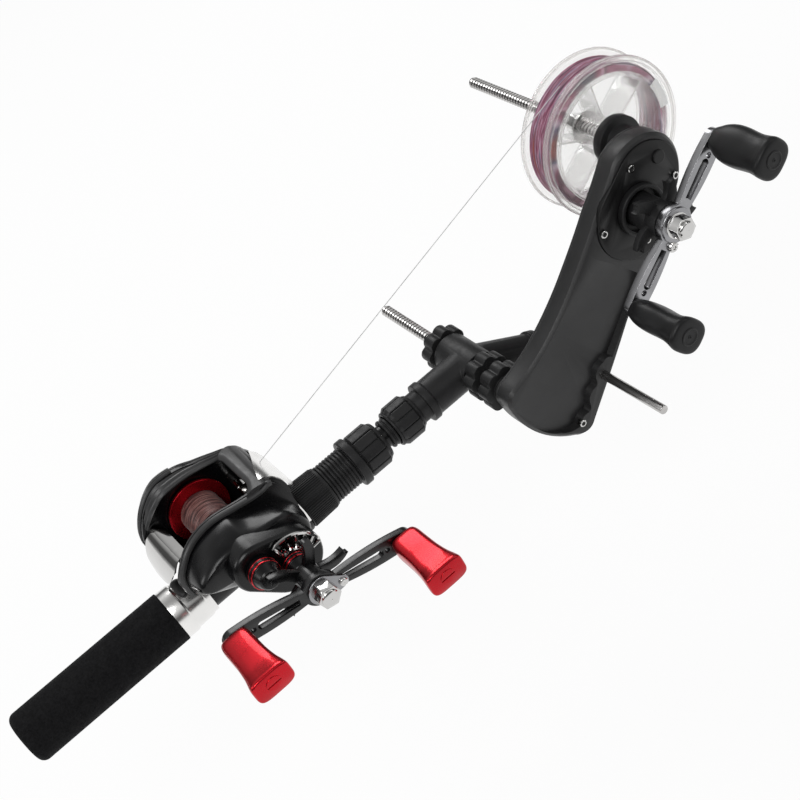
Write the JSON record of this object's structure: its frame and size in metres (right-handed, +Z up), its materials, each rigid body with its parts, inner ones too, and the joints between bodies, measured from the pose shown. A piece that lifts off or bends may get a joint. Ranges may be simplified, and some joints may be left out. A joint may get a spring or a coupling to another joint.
{
  "type": "fishing line winder",
  "caption": "Hand-held fishing line winder: a grip that holds a casting reel, a sliding bracket, and a swinging geared arm whose crank turns a supply spool of line.",
  "frame": {"origin": "centre of the butt face of the hand grip", "axes": "+X forward along the handle, +Y towards the supply spool, +Z up towards the reel"},
  "size_m": [0.4207, 0.2106, 0.1423],
  "materials": {
    "grip_foam": "closed-cell foam grip, matt black",
    "black_plastic": "satin black moulded plastic",
    "gloss_black": "glossy black reel covers",
    "frame_black": "satin grey-black frame",
    "chrome": "mirror plating",
    "steel": "plain and threaded steel",
    "case_black": "fine-grained black gearbox case",
    "handle_metal": "black satin painted metal",
    "red_anodised": "red anodised aluminium",
    "knob_rubber": "soft black rubber",
    "clear_spool": "clear moulded plastic",
    "spool_line": "wound line in mixed grey, pink and purple",
    "reel_line": "wound silver line",
    "gear_metal": "cut gears",
    "gear_plastic": "moulded gears"
  },
  "bodies": {
    "handle": {"eva_grip": "grip_foam", "handle_core": "steel", "rear_hood": "chrome", "reel_seat": "black_plastic", "seat_collet": "black_plastic", "reel_foot": "steel", "reel_frame": "frame_black", "palm_cover": "gloss_black", "gear_cover": "gloss_black", "nose_trim": "chrome", "reel_bearings": "steel", "shaft_cap": "gloss_black", "side_ornament": "chrome"},
    "front_hood": {"front_hood": "black_plastic"},
    "hood_nut": {"hood_nut": "black_plastic"},
    "large_nut": {"collet_nut_large": "black_plastic"},
    "bracket": {"extension_tube": "steel", "bracket": "black_plastic", "line_lower": "spool_line"},
    "small_nut": {"collet_nut_small": "black_plastic"},
    "arm": {"cross_bolt": "steel", "case_back": "case_black", "case_front": "case_black", "cover_plate": "case_black", "case_screws": "steel", "guide_pin": "steel", "spindle_bearing": "steel", "crank_bearing": "steel", "crank_collar": "black_plastic", "line_upper": "spool_line"},
    "star_nut_a": {"star_nut_a": "black_plastic"},
    "star_nut_b": {"star_nut_b": "black_plastic"},
    "star_nut_c": {"star_nut_c": "black_plastic"},
    "crank": {"crank_gear": "gear_plastic", "crank_shaft": "black_plastic", "crank_arm": "chrome", "crank_nut": "chrome"},
    "spindle": {"spindle_pinion": "gear_plastic", "spindle_rod": "steel", "spindle_flange": "black_plastic", "line_spool": "clear_spool", "line_winding": "spool_line"},
    "spool_nut": {"spool_nut": "chrome"},
    "star_wheel": {"star_wheel": "black_plastic"},
    "crank_knob_a": {"crank_knob_a": "knob_rubber"},
    "crank_knob_b": {"crank_knob_b": "knob_rubber"},
    "reel_handle": {"reel_drive_gear": "gear_metal", "reel_drive_shaft": "steel", "reel_handle_arm": "handle_metal", "reel_handle_nut": "chrome"},
    "reel_spool": {"reel_spool": "red_anodised", "reel_spool_line": "reel_line", "reel_pinion": "gear_metal"},
    "level_wind_worm": {"level_wind_worm": "steel"},
    "level_wind_guide": {"level_wind_guide": "steel"},
    "reel_knob_a": {"reel_knob_a": "red_anodised"},
    "reel_knob_b": {"reel_knob_b": "red_anodised"},
    "star_drag": {"reel_star_drag": "handle_metal"},
    "tension_knob": {"tension_knob": "gloss_black"},
    "thumb_bar": {"thumb_bar": "chrome"}
  },
  "joints": [
    {"name": "hood_nut_turn", "type": "hinge", "parent": "front_hood", "child": "hood_nut", "pos_m": [0.17, 0, 0], "axis": [1, 0, 0], "range_deg": [0, 1080]},
    {"name": "front_hood_slide", "type": "slide", "parent": "handle", "child": "front_hood", "axis": [1, 0, 0], "range_m": [0, 0.009]},
    {"name": "large_nut_turn", "type": "hinge", "parent": "handle", "child": "large_nut", "pos_m": [0.2, 0, 0], "axis": [1, 0, 0], "range_deg": [0, 360]},
    {"name": "tube_slide", "type": "slide", "parent": "handle", "child": "bracket", "axis": [1, 0, 0], "range_m": [-0.005, 0.025], "deforming": ["line_lower"]},
    {"name": "small_nut_turn", "type": "hinge", "parent": "bracket", "child": "small_nut", "pos_m": [0.228, 0, 0], "axis": [1, 0, 0], "range_deg": [0, 360]},
    {"name": "arm_pivot", "type": "hinge", "parent": "bracket", "child": "arm", "pos_m": [0.2712, 0, 0], "axis": [0, 1, 0], "range_deg": [-90, 70], "deforming": ["line_upper"]},
    {"name": "star_nut_a_turn", "type": "hinge", "parent": "arm", "child": "star_nut_a", "pos_m": [0.2712, 0, 0], "axis": [0, 1, 0], "range_deg": [0, 360]},
    {"name": "star_nut_b_turn", "type": "hinge", "parent": "arm", "child": "star_nut_b", "pos_m": [0.2712, 0, 0], "axis": [0, 1, 0], "range_deg": [0, 360]},
    {"name": "star_nut_c_turn", "type": "hinge", "parent": "arm", "child": "star_nut_c", "pos_m": [0.2712, 0, 0], "axis": [0, 1, 0], "range_deg": [0, 360]},
    {"name": "crank_turn", "type": "hinge", "parent": "arm", "child": "crank", "pos_m": [0.36315, 0, 0.04424], "axis": [0, 1, 0], "continuous": true},
    {"name": "spindle_turn", "type": "hinge", "parent": "arm", "child": "spindle", "pos_m": [0.38173, 0, 0.06059], "axis": [0, 1, 0], "continuous": true},
    {"name": "spool_nut_turn", "type": "hinge", "parent": "spindle", "child": "spool_nut", "pos_m": [0.38173, 0, 0.06059], "axis": [0, 1, 0], "range_deg": [0, 360]},
    {"name": "star_wheel_turn", "type": "hinge", "parent": "crank", "child": "star_wheel", "pos_m": [0.36315, 0, 0.04424], "axis": [0, 1, 0], "range_deg": [-90, 90]},
    {"name": "crank_knob_a_spin", "type": "hinge", "parent": "crank", "child": "crank_knob_a", "pos_m": [0.39754, 0, 0.06712], "axis": [0, 1, 0], "continuous": true},
    {"name": "crank_knob_b_spin", "type": "hinge", "parent": "crank", "child": "crank_knob_b", "pos_m": [0.32876, 0, 0.02137], "axis": [0, 1, 0], "continuous": true},
    {"name": "reel_handle_turn", "type": "hinge", "parent": "handle", "child": "reel_handle", "pos_m": [0.14, 0, 0.017], "axis": [0, 1, 0], "continuous": true},
    {"name": "reel_spool_turn", "type": "hinge", "parent": "handle", "child": "reel_spool", "pos_m": [0.1265, 0, 0.0265], "axis": [0, 1, 0], "continuous": true},
    {"name": "worm_turn", "type": "hinge", "parent": "handle", "child": "level_wind_worm", "pos_m": [0.1475, 0, 0.0288], "axis": [0, 1, 0], "continuous": true},
    {"name": "level_wind_slide", "type": "slide", "parent": "handle", "child": "level_wind_guide", "axis": [0, 1, 0], "range_m": [-0.009, 0.009]},
    {"name": "reel_knob_a_spin", "type": "hinge", "parent": "reel_handle", "child": "reel_knob_a", "pos_m": [0.18204, 0, 0.00706], "axis": [0, 1, 0], "continuous": true},
    {"name": "reel_knob_b_spin", "type": "hinge", "parent": "reel_handle", "child": "reel_knob_b", "pos_m": [0.09796, 0, 0.02694], "axis": [0, 1, 0], "continuous": true},
    {"name": "star_drag_turn", "type": "hinge", "parent": "reel_handle", "child": "star_drag", "pos_m": [0.14, 0, 0.017], "axis": [0, 1, 0], "range_deg": [-180, 180]},
    {"name": "tension_knob_turn", "type": "hinge", "parent": "handle", "child": "tension_knob", "pos_m": [0.1265, 0, 0.0265], "axis": [0, 1, 0], "range_deg": [-180, 180]},
    {"name": "thumb_bar_press", "type": "slide", "parent": "handle", "child": "thumb_bar", "axis": [0, 0, -1], "range_m": [0, 0.003], "stiffness_N_per_m": 600, "springref_m": -0.001}
  ],
  "couplings": [
    {"joint": "hood_nut_turn", "follows": "front_hood_slide", "rad_per_m": 2094.4},
    {"joint": "spindle_turn", "follows": "crank_turn", "ratio": -2.6667},
    {"joint": "reel_spool_turn", "follows": "reel_handle_turn", "ratio": -5},
    {"joint": "worm_turn", "follows": "reel_handle_turn", "ratio": -2}
  ]
}
